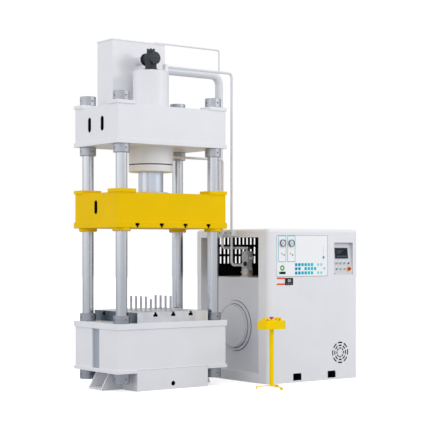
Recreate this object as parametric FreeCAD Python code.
"""Four-column hydraulic press with an ejector, a power cabinet and a two-hand pedestal.

Millimetres.  +Z is up, -Y is the operator's side and +X points from the press to
its cabinet.  The origin is on the floor at the centre of the press.
"""
import FreeCAD
import Part
import math
import os

from FreeCAD import Vector

RUNNING_GAP = 0.08            # radial, on every sliding or turning fit

# ---------------------------------------------------------------- press frame
PRESS_WIDTH = 1600.0          # beams, along X
PRESS_DEPTH = 980.0           # beams, along Y
PLATE_PROUD = 12.0            # how far the deck and sole plates stand out of the beams
PLATE_EASE = 3.0              # chamfer of the thick plates
WALL = 30.0                   # beam side plates
EDGE_ROUND = 8.0              # upright corners of the beams
WEB_FROM_COLUMN = 277.0       # cross webs inside the beams

COLUMN_R = 70.0
COLUMN_INSET_X = 123.0        # column centre to the beam's end
COLUMN_INSET_Y = 105.0
COLUMN_SHORT = 4.0            # each column ends this far inside its last nut
NUT_WALL = 30.0
NUT_EASE = 4.0
NUT_HOLE_R = 9.0              # spanner holes
NUT_HOLE_DEPTH = 22.0
CROWN_TOP_NUT_H = 114.0
CROWN_UNDER_NUT_H = 106.0
BED_TOP_NUT_H = 93.0
BED_UNDER_NUT_H = 122.0

FOOT_HEIGHT = 221.0           # floor to the underside of the bed's sole plate
BED_SOLE = 39.0
BED_BOX_H = 483.0
BED_DECK = 70.0
BLOCK_FROM_NUT = 56.0         # lower block and table stand clear of the nuts
BLOCK_FLOOR = 25.0            # plate under the lower block
FOOT_Y = 150.0                # half width of each side foot
FOOT_TOP_INSET = 110.0
FOOT_TIP_OUT = 5.0           # the feet reach beyond the beams
FOOT_PLATE = 28.0
FOOT_TIP_H = 8.0              # height of a rib at its tip
FOOT_TIP_SETBACK = 4.0
FOOT_WEB = 30.0               # plate between the ribs, against the lower block
RIB = 20.0
ANCHOR_FROM_TIP = 85.0
ANCHOR_FROM_RIB = 40.0
ANCHOR_R = 13.0
BED_WINDOW_Y = 80.0           # half width of the recesses in the sides
BED_WINDOW_DEPTH = 24.0
WEEP_HOLE_R = 29.0
WEEP_HOLE_Z = 70.0

TABLE_H = 129.0
TABLE_EASE = 2.0
TSLOT_NECK = 32.0
TSLOT_BASE = 62.0
TSLOT_NECK_H = 26.0
TSLOT_BASE_H = 30.0
TABLE_SLOT_X = 260.0
TABLE_SLOT_Y = 264.0
SIDE_SLOT_GAP = 70.0          # side slots start this far from the long ones
CENTRE_SLOT_GAP = 75.0        # centre slots start this far from the last pin

DAYLIGHT = 1012.0             # table top to the underside of the slide at rest
SLIDE_SOLE = 71.0
SLIDE_BOX_H = 352.0
PAD_ROOM_X = 62.0             # corner pads reach past the columns
PAD_ROOM_Y = 28.0
PAD_H = 42.0
SLIDE_SLOT_FROM_COLUMN = 152.0
SIDE_HOLE_W = 72.0            # hand holes in the sides of the slide and crown
SLIDE_HOLE_H = 168.0
SLIDE_HOLE_Z = 180.0          # centre above the slide's sole plate
BUSH_WALL = 25.0
BUSH_FLANGE_W = 16.0
BUSH_FLANGE_H = 35.0

CROWN_GAP = 578.0             # slide box top to crown underside at rest
CROWN_SOLE = 50.0
CROWN_BOX_H = 420.0
CROWN_HOLE_Y = 146.0
CROWN_HOLE_H = 180.0
CROWN_HOLE_Z = 203.0          # centre above the crown's sole plate

# -------------------------------------------------------- main cylinder and ram
CYLINDER_R = 225.0            # above the crown
CYLINDER_WALL = 40.0
CYLINDER_RISE = 448.0         # above the crown's top plate
HEAD_H = 34.0
HEAD_EASE = 4.0
SHOULDER_W = 53.0             # step that bears on the crown's underside
SHOULDER_H = 205.0
GROOVE_DEPTH = 16.0
GROOVE_H = 14.0
GLAND_H = 81.0
GLAND_WALL = 30.0
GLAND_EASE = 6.0
RAM_PISTON_RISE = 495.0       # piston above the crown's underside at rest
RAM_PISTON_H = 150.0
RAM_FLANGE_W = 60.0
RAM_FLANGE_H = 26.0
PORT_R = 38.0
PORT_LENGTH = 34.0

# ------------------------------------------------------------------- ejector
CUSHION_X = 250.0
CUSHION_Y = 205.0
CUSHION_H = 60.0
CUSHION_ROUND = 12.0
CUSHION_DROP = 123.0          # underside below the deck at rest
DECK_OPENING_ROOM_X = 15.0
DECK_OPENING_ROOM_Y = 17.0
PIN_R = 15.0
PIN_CLEARANCE = 1.0
PIN_EASE = 2.0
PIN_X = 184.0
PIN_PITCH_Y = 111.0
PINS_PER_ROW = 4
PIN_STAND = 177.0             # pins above the table at rest
CENTRE_PIN_STAND = 135.0
EJECTOR_R = 130.0
EJECTOR_WALL = 40.0
EJECTOR_OFF_FLOOR = 5.0       # above the plate under the lower block
EJECTOR_RISE = 170.0          # above the bed's sole plate
EJECTOR_FLANGE_W = 38.0
EJECTOR_FLANGE_H = 24.0
EJECTOR_END = 30.0
EJECTOR_ROD_R = 50.0
EJECTOR_PISTON_RISE = 220.0
EJECTOR_PISTON_H = 60.0

# ------------------------------------------------- valve, oil tank and pipework
VALVE_R = 72.0
VALVE_WALL = 14.0
VALVE_FLANGE_W = 28.0
VALVE_FLANGE_H = 26.0
VALVE_H = 222.0
VALVE_CAP_R = 53.0
VALVE_CAP_H = 37.0
VALVE_NECK_R = 64.0
VALVE_DISC_R = 78.0
VALVE_DISC_T = 22.0
VALVE_FRONT_OUT = 100.0
VALVE_BACK_OUT = 119.0
VALVE_PORT_Z = 163.0          # discs above the cylinder head
PORT_BLOCK_X = 106.0          # port block of the pressure pipe, on the cylinder head
PORT_BLOCK_L = 44.0
PORT_BLOCK_W = 60.0
PORT_BLOCK_OVER = 30.0        # above the pipe's centre line

TANK_X = 400.0                # half width
TANK_FROM_CYLINDER = 45.0
TANK_DEPTH = 352.0
TANK_H = 867.0
TANK_ROUND = 10.0
TANK_SHELL = 6.0
TANK_RAIL_H = 18.0            # rails that carry the tank on the crown
TANK_RAIL_W = 60.0
TANK_RAIL_INSET = 100.0
TANK_LID_H = 10.0
TANK_LID_PROUD = 6.0
BREATHER_R = 32.0
BREATHER_H = 34.0
BREATHER_EASE = 6.0
BREATHER_X = -230.0
BREATHER_FROM_BACK = 136.0

BIG_PIPE_R = 53.0
BIG_PIPE_WALL = 5.0
BIG_PIPE_BEND = 125.0
BIG_PIPE_BELOW_LID = 300.0
BIG_PIPE_INTO_TANK = 130.0    # behind the tank's front
BIG_PIPE_INTO_CABINET = 147.0
BIG_FLANGE_W = 27.0
BIG_FLANGE_T = 16.0
BIG_COLLAR_W = 22.0
BIG_COLLAR_T = 12.0
SMALL_PIPE_R = 16.0
SMALL_PIPE_WALL = 3.0
PRESSURE_PIPE_BEND = 55.0
RETURN_PIPE_BEND = 38.0
RISER_OFF_CABINET = 50.0      # both small pipes run down beside the cabinet
PRESSURE_PIPE_Y = -135.0
PRESSURE_PIPE_RISE = 59.0     # above the cylinder head
UNION_W = 9.0
UNION_L = 26.0
RETURN_PIPE_Y = 60.0
RETURN_PIPE_DROP = 91.0       # below the crown
RETURN_PIPE_OVER_BLOCK = 43.0
VENT_PIPE_R = 10.0
VENT_PIPE_WALL = 2.0
VENT_PIPE_RISE = 31.0         # above the tank's lid
VENT_PIPE_BEND = 30.0
VENT_PIPE_SINK = 24.0         # lower end inside the suction pipe's wall
VENT_PIPE_INSET = 105.0
CLAMP_DROP = 87.0             # below the cabinet's top
CLAMP_H = 76.0
CLAMP_PROUD = 30.0            # beyond the pipes' centre line
CLAMP_END = 40.0
CLAMP_GAP_END = 45.0
CLAMP_BACK = 20.0

# ------------------------------------------------------------------- cabinet
CABINET_GAP = 415.0           # beam end to the cabinet's side
CABINET_WIDTH = 1525.0
CABINET_DEPTH = 1560.0
CABINET_H = 1955.0
CABINET_FORWARD = 338.0       # front of the cabinet before the front of the beams
CABINET_ROUND = 60.0          # upright corners
BASE_H = 120.0
BASE_RIM = 8.0
BASE_DECK = 3.0
SHEET = 4.0
CABINET_ROLL = 38.0           # rolled edge of the top
RECESS_FROM_FRONT = 202.0     # opening in the left side
RECESS_FROM_BACK = 132.0
RECESS_FROM_TOP = 105.0
RECESS_DEPTH = 120.0
FORK_FROM_LEFT = 473.0
FORK_FROM_RIGHT = 466.0
FORK_W = 138.0
FORK_H = 90.0
FORK_Z = 27.0
FORK_WALL = 3.0
RESERVOIR_FROM_MOTOR = 150.0
VALVE_BAY_H = 517.0           # over the reservoir, inside the recess
HATCH_DROP = 28.5             # below the middle of the reservoir
HATCH_RING_R = 325.0
HATCH_RING_T = 22.0
HATCH_RING_W = 39.0
HATCH_T = 34.0
HATCH_EASE = 6.0
HATCH_BORE_R = 240.0
VENT_SLOT_W = 25.0
VENT_SLOT_H = 97.0
VENT_PITCH_X = 66.0
VENT_PITCH_Z = 130.0
VENT_FROM_LEFT = 225.0
VENT_FROM_TOP = 145.0
VENT_COLUMNS = 13
VENT_ROWS = 3

BOARD_FROM_LEFT = 128.0
BOARD_FROM_TOP = 78.0
BOARD_W = 857.0
BOARD_H = 528.0
BOARD_T = 4.0
BOARD_EASE = 1.5
GAUGE_FROM_LEFT = (98.0, 240.0)
GAUGE_FROM_TOP = 103.0
GAUGE_R = 45.0
GAUGE_DEPTH = 20.0
GAUGE_RIM = 5.0
GAUGE_POCKET = 12.0
GAUGE_BACK = 2.0
NEEDLE_REST = 225.0           # degrees, at the scale's zero
NEEDLE_LENGTH = 34.0
NEEDLE_TAIL = 10.0
NEEDLE_W = 4.0
NEEDLE_T = 1.2
NEEDLE_HUB_R = 5.0
NEEDLE_HUB_H = 1.0
NEEDLE_PIN_R = 1.6
NEEDLE_PIN_DEPTH = 5.0
NEEDLE_LIFT = 4.0

CONSOLE_FROM_RIGHT = 90.0
CONSOLE_FROM_TOP = 169.0
CONSOLE_W = 333.0
CONSOLE_H = 423.0
CONSOLE_TOP_DEPTH = 46.0
CONSOLE_BOTTOM_DEPTH = 4.0
CONSOLE_T = 4.0
CONSOLE_CHEEK = 3.0
CONSOLE_LIP = 0.5             # cheeks start this far behind the sheet's face
SCREEN_FROM_LEFT = 152.0      # centre
SCREEN_UP = 283.0             # centre, along the plate from its lower edge
SCREEN_W = 226.0
SCREEN_H = 140.0
SCREEN_T = 8.0
SCREEN_EASE = 2.0
ROW_1_UP = 151.0
ROW_2_UP = 76.0
CONTROL_FROM_LEFT = (51.0, 118.0, 187.0, 265.0)
SELECTORS = 3
BEZEL_R = 15.0
BEZEL_H = 8.0
CAP_R = 11.0
CAP_H = 10.0
CAP_LIFT = 5.0
CAP_CLEARANCE = 0.5
STEM_R = 7.0
STEM_BACK = 34.0
KNOB_R = 12.0
KNOB_H = 12.0
KNOB_LIFT = 0.3
KNOB_GRIP_W = 7.0
KNOB_GRIP_H = 9.0
STOP_RING_R = 30.0
STOP_RING_H = 3.0
STOP_CAP_R = 20.0
STOP_CAP_H = 18.0
STOP_LIFT = 12.0
STOP_STEM_R = 11.0
MUSHROOM_ROUND = 4.0
BUTTON_SLEEVE_R = 13.0
BUTTON_SLEEVE_L = 22.0

FAN_FROM_RIGHT = 316.0
FAN_Z = 347.0
FAN_RINGS = (57.0, 93.0, 131.0)
FAN_SLOT = 19.0
FAN_SLOTS_PER_RING = 8
FAN_SLOT_FILL = 0.72          # share of each eighth of a ring that is open
FAN_SHROUD_R = 172.0
FAN_SHROUD_T = 5.0
FAN_SHROUD_L = 90.0
FAN_ARM_W = 16.0
FAN_ARM_T = 12.0
FAN_ARMS = 4
FAN_BLADE_GAP = 14.0          # blade tips to the shroud
FAN_BLADE_ROOT = 6.0          # blades run this far into the hub
FAN_BLADE_W = 50.0
FAN_BLADE_T = 3.0
FAN_BLADE_TILT = 32.0
FAN_BLADES = 7
FAN_HUB_R = 42.0
FAN_HUB_L = 34.0
FAN_HUB_GAP = 2.0
FAN_MOTOR_R = 48.0
FAN_MOTOR_L = 70.0
FAN_SHAFT_R = 8.0
FAN_SHAFT_IN = 30.0           # shaft inside the fan motor
FAN_SHAFT_END = 4.0
FAN_SET_BACK = 24.0           # hub face behind the sheet

MOTOR_FROM_RIGHT = 310.0
MOTOR_Z = 330.0
MOTOR_R = 130.0
MOTOR_FROM_BACK = 672.0       # drive end
MOTOR_L = 410.0
MOTOR_FOOT_W = 220.0
MOTOR_FOOT_INSET = 60.0
MOTOR_FOOT_RISE = 25.0
MOTOR_BOX_W = 120.0
MOTOR_BOX_L = 140.0
MOTOR_BOX_H = 55.0
MOTOR_BOX_INSET = 90.0
MOTOR_BOX_SINK = 15.0
DRIVE_SHAFT_R = 21.0
COUPLING_WALL = 25.0
COUPLING_L = 96.0
COUPLING_GAP = 4.0
COUPLING_GROOVE_W = 18.0
COUPLING_GROOVE_DEPTH = 8.0
PUMP_R = 72.0
PUMP_L = 190.0
PUMP_STAND_W = 110.0
PUMP_STAND_INSET = 30.0
PUMP_PORT_R = 24.0
PUMP_PORT_OUT = 30.0
SHAFT_REACH = 40.0
SHAFT_DEPTH = 60.0            # length of each shaft inside its housing

VALVE_BLOCK_W = 80.0          # valve block on the reservoir
VALVE_BLOCK_H = 339.0
VALVE_BLOCK_INSET = 27.0
VALVE_BLOCK_FRONT = 85.0      # either side of the pressure pipe
VALVE_BLOCK_BACK = 37.0
VALVE_WAIST_H = 72.0
VALVE_WAIST_STEP = 12.0
VALVE_WAIST_RISE = 157.0      # the pressure pipe enters at the waist
VALVE_COIL_R = 19.0
VALVE_COIL_L = 66.0
VALVE_COIL_DROP = 90.0
VALVE_BASE_T = 16.0
VALVE_BASE_OUT = 12.0
FITTING_RISE = 66.0
FITTING_NUT_R = 20.0
FITTING_NUT_L = 26.0
FITTING_TAIL_R = 14.0
FITTING_TAIL_L = 32.0

# ------------------------------------------------------------------ pedestal
PEDESTAL_OUT_X = 160.0        # beyond the beam's end
PEDESTAL_OUT_Y = 710.0        # before the beam's front
PED_BOX_W = 306.0
PED_BOX_D = 171.0
PED_BOX_Z = 727.0
PED_BOX_H = 104.0
PED_BOX_ROUND = 8.0
PED_BOX_EASE = 3.0
PED_POST = 40.0
PED_POST_ROUND = 5.0
PED_HUB_R = 41.6
PED_LEG_ANGLES = (-90.0, 30.0, 150.0)
PED_LEG_REACH = 190.0
PED_LEG_KNEE = 92.25          # where each leg starts to fall
PED_LEG_W = 42.0
PED_LEG_T = 8.0
PED_LEG_RISE = 42.0
PED_LEG_FALL = 1.0            # hub to knee
PED_FOOT_RISE = 36.0          # top of a leg above the floor at its toe
PED_FOOT_STEP = 6.0
PALM_X = 95.0
PALM_BACK = 3.0               # palm buttons before the pedestal's centre
PALM_R = 19.0
PALM_H = 16.0
PALM_LIFT = 10.0
PALM_STEM_R = 9.0
GUARD_X = 56.0
GUARD_Y = 74.0
GUARD_H = 32.0
GUARD_WALL = 8.0
GUARD_ROUND = 6.0
PED_STOP_R = 25.0
PED_STOP_H = 20.0
PED_STOP_LIFT = 24.0

# -------------------------------------------------------------- derived places
COLUMN_X = PRESS_WIDTH / 2.0 - COLUMN_INSET_X
COLUMN_Y = PRESS_DEPTH / 2.0 - COLUMN_INSET_Y
NUT_R = COLUMN_R + NUT_WALL
BLOCK_X = COLUMN_X - NUT_R - BLOCK_FROM_NUT
TABLE_Y = PRESS_DEPTH / 2.0
SIDE_SLOT_END_X = TABLE_SLOT_X + SIDE_SLOT_GAP
CENTRE_SLOT_END_Y = PIN_PITCH_Y * (PINS_PER_ROW - 1) / 2.0 + CENTRE_SLOT_GAP
FOOT_TOP_X = PRESS_WIDTH / 2.0 - FOOT_TOP_INSET
FOOT_TIP_X = PRESS_WIDTH / 2.0 + FOOT_TIP_OUT
FOOT_BODY_X = BLOCK_X + FOOT_WEB
ANCHOR_X = FOOT_TIP_X - ANCHOR_FROM_TIP
ANCHOR_Y = FOOT_Y - RIB - ANCHOR_FROM_RIB
BUSH_R = COLUMN_R + BUSH_WALL
BUSH_FLANGE_R = BUSH_R + BUSH_FLANGE_W
SLIDE_SLOT_X = COLUMN_X - SLIDE_SLOT_FROM_COLUMN
SLIDE_SLOTS_X = [SLIDE_SLOT_X * share for share in (-1.0, -1.0 / 3.0, 1.0 / 3.0, 1.0)]

BED_BOX_Z = FOOT_HEIGHT + BED_SOLE
DECK_Z = BED_BOX_Z + BED_BOX_H
TABLE_Z = DECK_Z + BED_DECK
TABLE_TOP_Z = TABLE_Z + TABLE_H
SLIDE_Z = TABLE_TOP_Z + DAYLIGHT
SLIDE_BOX_Z = SLIDE_Z + SLIDE_SOLE
SLIDE_TOP_Z = SLIDE_BOX_Z + SLIDE_BOX_H
SLIDE_PAD_Z = SLIDE_TOP_Z + PAD_H
CROWN_Z = SLIDE_TOP_Z + CROWN_GAP
CROWN_BOX_Z = CROWN_Z + CROWN_SOLE
CROWN_TOP_Z = CROWN_BOX_Z + CROWN_BOX_H
CROWN_PAD_Z = CROWN_TOP_Z + PAD_H
COLUMN_BOTTOM_Z = FOOT_HEIGHT - BED_UNDER_NUT_H + COLUMN_SHORT
COLUMN_TOP_Z = CROWN_PAD_Z + CROWN_TOP_NUT_H - COLUMN_SHORT

CYLINDER_BORE_R = CYLINDER_R - CYLINDER_WALL
SHOULDER_R = CYLINDER_R + SHOULDER_W
RAM_R = CYLINDER_BORE_R - GLAND_WALL
PORT_REACH = SHOULDER_R + PORT_LENGTH
CYLINDER_LOW_Z = CROWN_Z - SHOULDER_H
GLAND_TOP_Z = CYLINDER_LOW_Z - GROOVE_H
GLAND_Z = GLAND_TOP_Z - GLAND_H
HEAD_Z = CROWN_TOP_Z + CYLINDER_RISE
RAM_PISTON_Z = CROWN_Z + RAM_PISTON_RISE
VALVE_Z = HEAD_Z + HEAD_H

CUSHION_Z = DECK_Z - CUSHION_DROP
EJECTOR_BORE_R = EJECTOR_R - EJECTOR_WALL
EJECTOR_BOTTOM_Z = BLOCK_FLOOR + EJECTOR_OFF_FLOOR
EJECTOR_TOP_Z = BED_BOX_Z + EJECTOR_RISE
EJECTOR_PISTON_Z = EJECTOR_BOTTOM_Z + EJECTOR_PISTON_RISE

CABINET_X0 = PRESS_WIDTH / 2.0 + CABINET_GAP
CABINET_X1 = CABINET_X0 + CABINET_WIDTH
CABINET_Y0 = -PRESS_DEPTH / 2.0 - CABINET_FORWARD
CABINET_Y1 = CABINET_Y0 + CABINET_DEPTH
CABINET_TOP_Z = CABINET_H - CABINET_ROLL - SHEET
RECESS_Y0 = CABINET_Y0 + RECESS_FROM_FRONT
RECESS_Y1 = CABINET_Y1 - RECESS_FROM_BACK
RECESS_Z1 = CABINET_H - RECESS_FROM_TOP
FORK_X = (CABINET_X0 + FORK_FROM_LEFT, CABINET_X1 - FORK_FROM_RIGHT)
MOTOR_X = CABINET_X1 - MOTOR_FROM_RIGHT
MOTOR_Y = CABINET_Y1 - MOTOR_FROM_BACK
PUMP_Y = MOTOR_Y - COUPLING_L - 2.0 * COUPLING_GAP
RESERVOIR_X0 = CABINET_X0 + RECESS_DEPTH
RESERVOIR_X1 = MOTOR_X - MOTOR_R - RESERVOIR_FROM_MOTOR
RESERVOIR_Z1 = RECESS_Z1 - VALVE_BAY_H
HATCH_Z = (BASE_H + RESERVOIR_Z1) / 2.0 - HATCH_DROP
BOARD_X0 = CABINET_X0 + BOARD_FROM_LEFT
BOARD_Z1 = CABINET_H - BOARD_FROM_TOP
GAUGE_X = [BOARD_X0 + x for x in GAUGE_FROM_LEFT]
GAUGE_Z = BOARD_Z1 - GAUGE_FROM_TOP
CONSOLE_X1 = CABINET_X1 - CONSOLE_FROM_RIGHT
CONSOLE_X0 = CONSOLE_X1 - CONSOLE_W
CONSOLE_Z1 = CABINET_H - CONSOLE_FROM_TOP
CONSOLE_Z0 = CONSOLE_Z1 - CONSOLE_H
CONSOLE_TILT = math.atan2(CONSOLE_TOP_DEPTH - CONSOLE_BOTTOM_DEPTH, CONSOLE_H)
SCREEN_X = CONSOLE_X0 + SCREEN_FROM_LEFT
CONTROL_X = [CONSOLE_X0 + x for x in CONTROL_FROM_LEFT]
FAN_X = CABINET_X1 - FAN_FROM_RIGHT
FAN_BLADE_R = FAN_SHROUD_R - FAN_BLADE_GAP

TANK_Y0 = CYLINDER_R + TANK_FROM_CYLINDER
TANK_Y1 = TANK_Y0 + TANK_DEPTH
TANK_Z0 = CROWN_TOP_Z + TANK_RAIL_H
TANK_Z1 = TANK_Z0 + TANK_H
TANK_LID_Z = TANK_Z1 + TANK_LID_H
BIG_PIPE_X = CABINET_X0 + BIG_PIPE_INTO_CABINET
BIG_PIPE_Y = TANK_Y0 + BIG_PIPE_INTO_TANK
BIG_PIPE_Z = TANK_Z1 - BIG_PIPE_BELOW_LID
RISER_X = CABINET_X0 - RISER_OFF_CABINET
PRESSURE_PIPE_Z = VALVE_Z + PRESSURE_PIPE_RISE
RETURN_PIPE_Z = CROWN_Z - RETURN_PIPE_DROP
VENT_PIPE_X = TANK_X - VENT_PIPE_INSET
VENT_PIPE_Z = TANK_LID_Z + VENT_PIPE_RISE
CLAMP_Z = CABINET_H - CLAMP_DROP
VALVE_BLOCK_X0 = RESERVOIR_X0 + VALVE_BLOCK_INSET
VALVE_BLOCK_X1 = VALVE_BLOCK_X0 + VALVE_BLOCK_W
VALVE_BLOCK_X = (VALVE_BLOCK_X0 + VALVE_BLOCK_X1) / 2.0
VALVE_BLOCK_Y0 = PRESSURE_PIPE_Y - VALVE_BLOCK_FRONT
VALVE_BLOCK_Y1 = PRESSURE_PIPE_Y + VALVE_BLOCK_BACK
VALVE_BLOCK_Y = (VALVE_BLOCK_Y0 + VALVE_BLOCK_Y1) / 2.0
VALVE_BLOCK_Z1 = RESERVOIR_Z1 + VALVE_BLOCK_H
PRESSURE_PIPE_IN_Z = RESERVOIR_Z1 + VALVE_WAIST_RISE
RETURN_PIPE_IN_Z = VALVE_BLOCK_Z1 + RETURN_PIPE_OVER_BLOCK

PEDESTAL_X = PRESS_WIDTH / 2.0 + PEDESTAL_OUT_X
PEDESTAL_Y = -PRESS_DEPTH / 2.0 - PEDESTAL_OUT_Y
PED_TOP_Z = PED_BOX_Z + PED_BOX_H

CORNERS = [(sx, sy) for sx in (-1, 1) for sy in (-1, 1)]


# -------------------------------------------------------------------- helpers
def block(x0, x1, y0, y1, z0, z1):
    """Rectangular solid between two corners."""
    return Part.makeBox(x1 - x0, y1 - y0, z1 - z0, Vector(x0, y0, z0))


def plate(half_x, half_y, z0, z1):
    """Rectangular solid centred on the press axis."""
    return block(-half_x, half_x, -half_y, half_y, z0, z1)


def rod(radius, start, end):
    """Round bar between two points."""
    a, b = Vector(*start), Vector(*end)
    return Part.makeCylinder(radius, (b - a).Length, a, b - a)


def ring(outer, inner, start, end):
    """Round tube between two points."""
    return rod(outer, start, end).cut(rod(inner, start, end))


def fuse(shapes):
    """One clean solid from touching or overlapping solids."""
    return shapes[0].multiFuse(shapes[1:]).removeSplitter() if len(shapes) > 1 else shapes[0]


def group(shapes):
    """Several separate solids that share one node."""
    return Part.makeCompound(shapes)


def upright_edges(shape, at):
    """Vertical edges of a shape that pass through the given (x, y) places."""
    found = []
    for edge in shape.Edges:
        ends = [v.Point for v in edge.Vertexes]
        if len(ends) != 2 or abs(ends[0].x - ends[1].x) > 0.01 or abs(ends[0].y - ends[1].y) > 0.01:
            continue
        if any(math.hypot(ends[0].x - x, ends[0].y - y) < 0.1 for x, y in at):
            found.append(edge)
    return found


def rounded_block(x0, x1, y0, y1, z0, z1, radius):
    """Rectangular solid with its four upright edges rounded."""
    solid = block(x0, x1, y0, y1, z0, z1)
    places = [(x, y) for x in (x0, x1) for y in (y0, y1)]
    return solid.makeFillet(radius, upright_edges(solid, places))


def faced(corners, push):
    """Flat outline pushed into a solid."""
    points = [Vector(*corner) for corner in corners]
    return Part.Face(Part.makePolygon(points + points[:1])).extrude(Vector(*push))


def eased(shape, size, low=None, high=None):
    """Chamfer of the level edges at the given heights."""
    chosen = []
    for edge in shape.Edges:
        box = edge.BoundBox
        if box.ZLength > 0.01:
            continue
        if any(level is not None and abs(box.ZMin - level) < 0.01 for level in (low, high)):
            chosen.append(edge)
    return shape.makeChamfer(size, chosen)


def rolled(shape, radius, level):
    """Rounding of the level edges at one height."""
    edges = [edge for edge in shape.Edges if edge.BoundBox.ZLength < 0.01
             and abs(edge.BoundBox.ZMin - level) < 0.01]
    return shape.makeFillet(radius, edges)


def long_hole(width, height, centre, depth_x):
    """Upright round-ended hole that runs along X."""
    x, y, z = centre
    half = (height - width) / 2.0
    parts = [rod(width / 2.0, (x, y, z + side * half), (x + depth_x, y, z + side * half))
             for side in (-1, 1)]
    parts.append(block(x, x + depth_x, y - width / 2.0, y + width / 2.0, z - half, z + half))
    return fuse(parts)


def tee_slot(along, centre, start, end, mouth_z, up):
    """T-slot cutter along X or Y.  up is 1 where the mouth faces up and -1 where it faces down."""
    def bar(width, near, depth):
        z0, z1 = sorted((mouth_z - up * near, mouth_z - up * (near + depth)))
        if along == "y":
            return block(centre - width / 2.0, centre + width / 2.0, start, end, z0, z1)
        return block(start, end, centre - width / 2.0, centre + width / 2.0, z0, z1)
    return bar(TSLOT_NECK, 0.0, TSLOT_NECK_H).fuse(bar(TSLOT_BASE, TSLOT_NECK_H, TSLOT_BASE_H))


def pipe_route(points, bend):
    """Wire of straight runs joined by tangent arcs of one radius."""
    corners = [Vector(*p) for p in points]
    edges = []
    here = corners[0]
    for before, corner, after in zip(corners, corners[1:], corners[2:]):
        into = (corner - before).normalize()
        out = (after - corner).normalize()
        turn = into.getAngle(out)
        reach = bend * math.tan(turn / 2.0)
        start = corner - into * reach
        end = corner + out * reach
        bisector = (out - into).normalize()
        centre = corner + bisector * (bend / math.cos(turn / 2.0))
        middle = centre - bisector * bend
        edges.append(Part.LineSegment(here, start).toShape())
        edges.append(Part.Arc(start, middle, end).toShape())
        here = end
    edges.append(Part.LineSegment(here, corners[-1]).toShape())
    return Part.Wire(edges)


def pipe(points, outer, wall, bend):
    """Hollow bent pipe."""
    route = pipe_route(points, bend)
    start = Vector(*points[0])
    heading = Vector(*points[1]) - start

    def sweep(radius):
        circle = Part.Wire([Part.makeCircle(radius, start, heading)])
        return route.makePipeShell([circle], True, True)
    return sweep(outer).cut(sweep(outer - wall))


def at_columns(radius, z0, z1):
    """Four upright round bars, one on each column's axis."""
    return [rod(radius, (sx * COLUMN_X, sy * COLUMN_Y, z0), (sx * COLUMN_X, sy * COLUMN_Y, z1))
            for sx, sy in CORNERS]


def corner_pads(z0, z1):
    """The four thick pads under the column nuts or over the guides."""
    outer_x = PRESS_WIDTH / 2.0 + PLATE_PROUD
    outer_y = PRESS_DEPTH / 2.0 + PLATE_PROUD
    pads = []
    for sx, sy in CORNERS:
        xs = sorted((sx * outer_x, sx * (COLUMN_X - COLUMN_R - PAD_ROOM_X)))
        ys = sorted((sy * outer_y, sy * (COLUMN_Y - COLUMN_R - PAD_ROOM_Y)))
        pads.append(block(xs[0], xs[1], ys[0], ys[1], z0, z1))
    return pads


def beam_shell(z0, z1, column_tube_r):
    """Side plates, column tubes and two cross webs of a welded beam."""
    half_x, half_y = PRESS_WIDTH / 2.0, PRESS_DEPTH / 2.0
    outer = rounded_block(-half_x, half_x, -half_y, half_y, z0, z1, EDGE_ROUND)
    walls = outer.cut(plate(half_x - WALL, half_y - WALL, z0, z1))
    tubes = [tube.common(outer) for tube in at_columns(column_tube_r, z0, z1)]
    web_x = COLUMN_X - WEB_FROM_COLUMN
    webs = [block(x - WALL / 2.0, x + WALL / 2.0, -half_y, half_y, z0, z1) for x in (-web_x, web_x)]
    return [walls] + tubes + webs


# ---------------------------------------------------------------- press frame
def make_foot(side):
    """Plates of one side foot: the floor plate, two sloping ribs and the web between them."""
    xs = sorted((side * BLOCK_X, side * FOOT_TIP_X))
    plates = [block(xs[0], xs[1], -FOOT_Y, FOOT_Y, 0.0, FOOT_PLATE)]
    root, tip = BLOCK_X - WALL, FOOT_TIP_X - FOOT_TIP_SETBACK
    low = FOOT_PLATE / 2.0
    outline = [(root, low), (tip, low), (tip, FOOT_PLATE + FOOT_TIP_H), (FOOT_TOP_X, FOOT_HEIGHT),
               (root, FOOT_HEIGHT)]
    for y in (-FOOT_Y, FOOT_Y - RIB):
        plates.append(faced([(side * x, y, z) for x, z in outline], (0, RIB, 0)))
    xs = sorted((side * BLOCK_X, side * FOOT_BODY_X))
    plates.append(block(xs[0], xs[1], -FOOT_Y, FOOT_Y, FOOT_PLATE, FOOT_HEIGHT))
    return plates


def make_base_frame():
    """Hollow block under the bed, with a foot at each side."""
    half_y = PRESS_DEPTH / 2.0
    lower = plate(BLOCK_X, half_y, 0.0, FOOT_HEIGHT)
    lower = lower.cut(plate(BLOCK_X - WALL, half_y - WALL, BLOCK_FLOOR, FOOT_HEIGHT))
    cutters = []
    for side in (-1, 1):
        start, end = sorted((side * half_y, side * (half_y - WALL)))
        cutters.append(rod(WEEP_HOLE_R, (0, start, WEEP_HOLE_Z), (0, end, WEEP_HOLE_Z)))
        for y in (-ANCHOR_Y, ANCHOR_Y):
            cutters.append(rod(ANCHOR_R, (side * ANCHOR_X, y, 0.0), (side * ANCHOR_X, y, FOOT_PLATE)))
    return fuse([lower] + make_foot(-1) + make_foot(1)).cut(cutters)


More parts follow.
